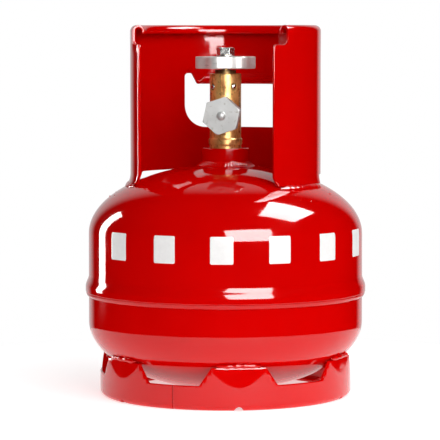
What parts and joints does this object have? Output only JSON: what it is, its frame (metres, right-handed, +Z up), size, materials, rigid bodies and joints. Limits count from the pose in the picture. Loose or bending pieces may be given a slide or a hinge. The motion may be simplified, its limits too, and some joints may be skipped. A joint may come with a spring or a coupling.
{
  "type": "portable propane cylinder",
  "caption": "Squat welded steel gas cylinder with a foot ring, a wrap-round guard collar with hand window, and a brass valve with handwheel and capped side outlet.",
  "frame": {"origin": "on the floor, below the middle of the tank", "axes": "+Z up along the tank's axis; the guard collar opens towards -Y and its hand window faces +Y"},
  "size_m": [0.2272, 0.2272, 0.299],
  "materials": {
    "red_enamel": "glossy baked enamel",
    "brass": "forged, satin, slightly stained",
    "dark_brass": "turned, tarnished",
    "bright_steel": "zinc plated",
    "cast_aluminium": "die cast, polished rim",
    "plated_cap": "matt zinc",
    "black_rubber": "matt",
    "nylon": "moulded"
  },
  "bodies": {
    "cylinder": {"upper_shell": "red_enamel", "lower_shell": "red_enamel", "girth_weld": "red_enamel", "neck_boss": "red_enamel", "neck_weld": "red_enamel", "collar": "red_enamel", "collar_weld_1": "red_enamel", "collar_weld_2": "red_enamel", "collar_weld_3": "red_enamel", "collar_weld_4": "red_enamel", "foot_ring": "red_enamel", "foot_weld_1": "red_enamel", "foot_weld_2": "red_enamel", "foot_weld_3": "red_enamel", "foot_weld_4": "red_enamel", "foot_weld_5": "red_enamel", "foot_weld_6": "red_enamel", "valve_body": "brass", "bonnet": "dark_brass", "spindle_o_ring": "black_rubber", "thrust_washer": "nylon", "lock_ball_1": "bright_steel", "lock_ball_2": "bright_steel", "lock_ball_3": "bright_steel", "lock_ball_4": "bright_steel"},
    "handwheel": {"spindle": "brass", "handwheel": "cast_aluminium", "wheel_washer": "bright_steel", "wheel_nut": "bright_steel"},
    "plug": {"valve_plug": "brass", "seat_disc": "nylon"},
    "gasket": {"cap_gasket": "black_rubber"},
    "cap": {"outlet_cap": "plated_cap"}
  },
  "joints": [
    {"name": "handwheel_turn", "type": "hinge", "parent": "cylinder", "child": "handwheel", "pos_m": [0, 0, 0.26], "axis": [0, 0, 1], "range_deg": [0, 720]},
    {"name": "plug_lift", "type": "slide", "parent": "handwheel", "child": "plug", "axis": [0, 0, 1], "range_m": [0, 0.003]},
    {"name": "cap_travel", "type": "slide", "parent": "cylinder", "child": "gasket", "axis": [0.2164, -0.9763, 0], "range_m": [0, 0.01814]},
    {"name": "cap_turn", "type": "hinge", "parent": "gasket", "child": "cap", "pos_m": [0, 0, 0.227], "axis": [-0.2164, 0.9763, 0], "range_deg": [0, 3600]}
  ],
  "couplings": [
    {"joint": "plug_lift", "follows": "handwheel_turn", "m_per_rad": 0.00023873},
    {"joint": "cap_travel", "follows": "cap_turn", "m_per_rad": 0.00028871}
  ]
}
